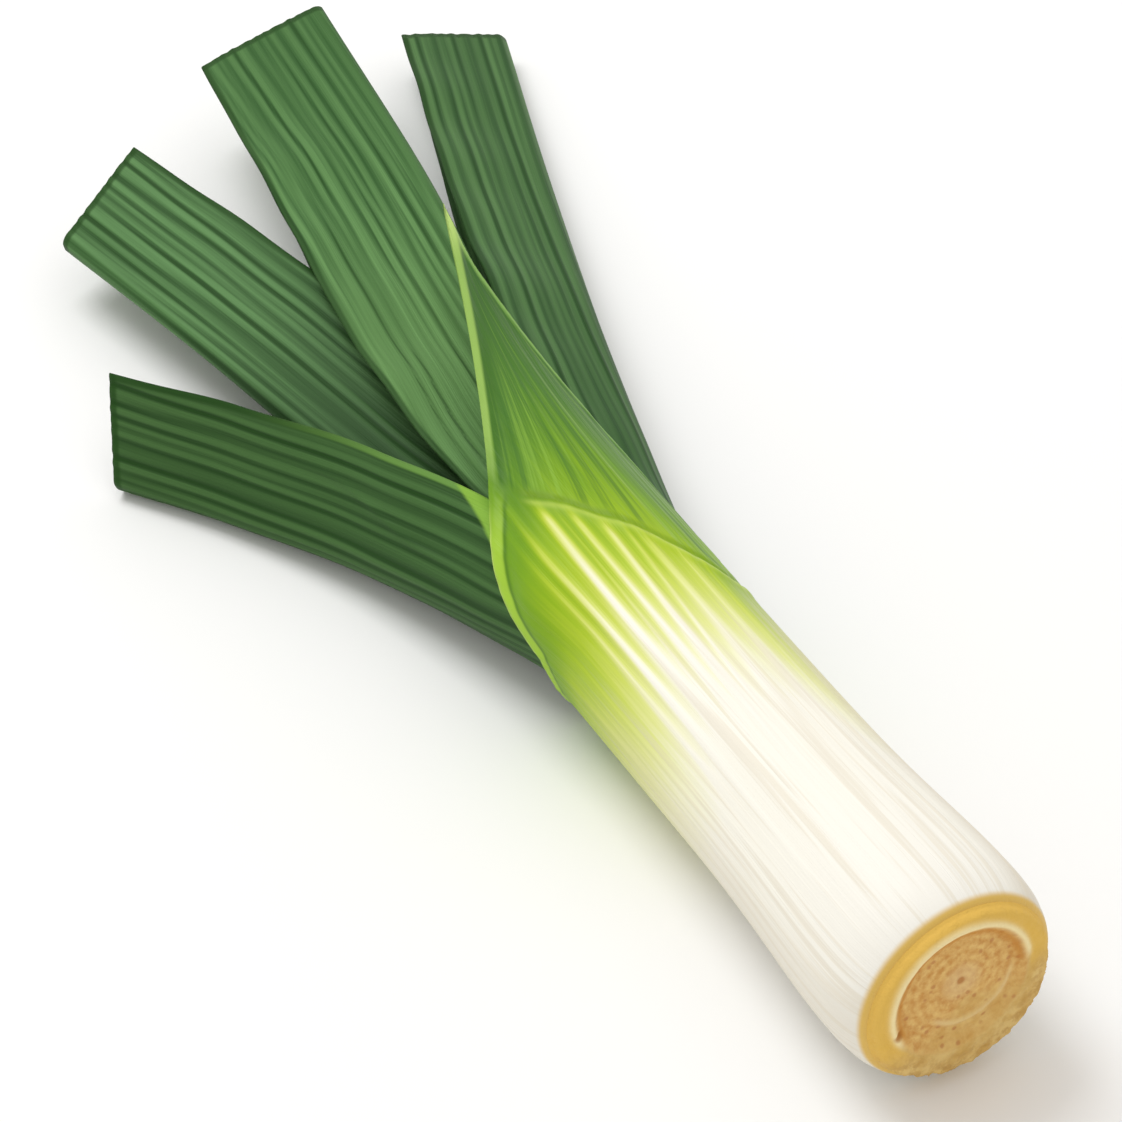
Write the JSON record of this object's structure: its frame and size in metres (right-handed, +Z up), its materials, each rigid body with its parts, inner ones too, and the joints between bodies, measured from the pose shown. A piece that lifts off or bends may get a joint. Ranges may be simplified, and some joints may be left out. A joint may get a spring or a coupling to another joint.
{
  "type": "leek",
  "caption": "Trimmed leek lying on its side: white shaft with a root plate, a pointed pale green front leaf and folded dark green leaves cut square and fanned out",
  "frame": {"origin": "centre of the bounding box's bottom, on the surface that the leek lies on", "axes": "+Y runs along the shaft from the root plate to the cut leaf ends, +Z is up and +X is to the right of someone looking from the root plate towards the leaves"},
  "size_m": [0.1524, 0.3368, 0.0442],
  "materials": {
    "shaft_and_front_leaf": "moist plant tissue, satin, ivory white running through yellow green to mid green at the point of the front leaf",
    "root_plate": "dry trimmed root plate, matt golden tan with rings",
    "left_outer_leaf": "ribbed plant leaf with a waxy satin bloom, dark green",
    "left_inner_leaf": "ribbed plant leaf with a waxy satin bloom, dark green",
    "right_inner_leaf": "ribbed plant leaf with a waxy satin bloom, dark green",
    "right_outer_leaf": "ribbed plant leaf with a waxy satin bloom, dark green"
  },
  "bodies": {
    "root": {"shaft_and_front_leaf": "shaft_and_front_leaf", "root_plate": "root_plate", "left_outer_leaf": "left_outer_leaf", "left_inner_leaf": "left_inner_leaf", "right_inner_leaf": "right_inner_leaf", "right_outer_leaf": "right_outer_leaf"}
  },
  "joints": []
}
